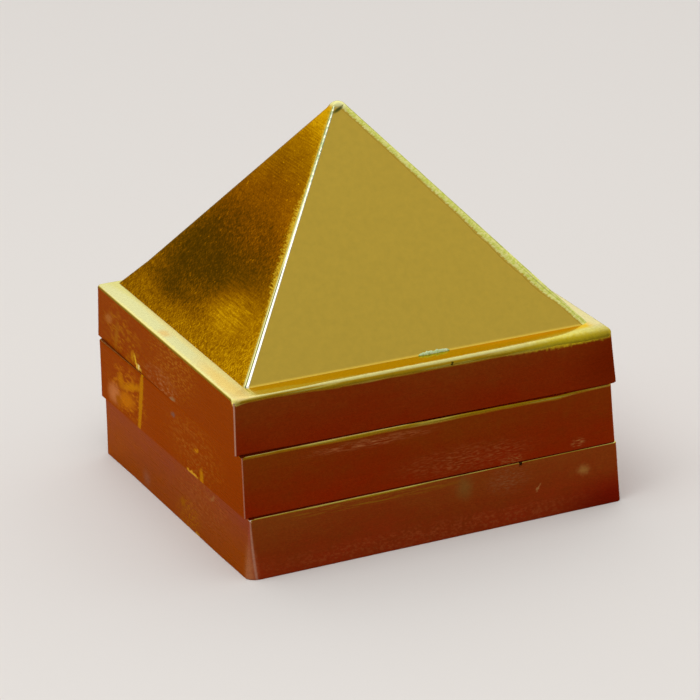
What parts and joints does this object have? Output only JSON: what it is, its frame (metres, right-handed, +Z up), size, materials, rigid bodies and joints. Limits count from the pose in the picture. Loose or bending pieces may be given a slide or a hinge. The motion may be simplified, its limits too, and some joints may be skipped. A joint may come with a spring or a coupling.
{
  "type": "vastu pyramid",
  "caption": "Gilded metal pyramid on a square cap tray, over two hollow trays that lift apart, with plates of small pressed pyramids on their hidden decks.",
  "frame": {"origin": "middle of the stack's footprint, on the surface that the base tray stands on", "axes": "+Z up through the pyramid's tip, X and Y along the base tray's sides"},
  "size_m": [0.052, 0.0522, 0.0492],
  "materials": {
    "gilt_pyramid": "satin gilding over a brushed casting, worn pale along the ridges",
    "gilt_tray": "coppery toned gilding over a brushed casting, worn silvery at the corners",
    "pressed_plate": "bright pressed sheet"
  },
  "bodies": {
    "base": {"base_tray": "gilt_tray", "eighty_one_pyramid_plate": "pressed_plate"},
    "middle": {"middle_tray": "gilt_tray", "nine_pyramid_plate": "pressed_plate"},
    "cap": {"cap_tray": "gilt_tray", "pyramid_shell": "gilt_pyramid"}
  },
  "joints": [
    {"name": "middle_lift", "type": "slide", "parent": "base", "child": "middle", "axis": [0, 0, 1], "range_m": [0, 0.02]},
    {"name": "cap_lift", "type": "slide", "parent": "middle", "child": "cap", "axis": [0, 0, 1], "range_m": [0, 0.03]}
  ]
}
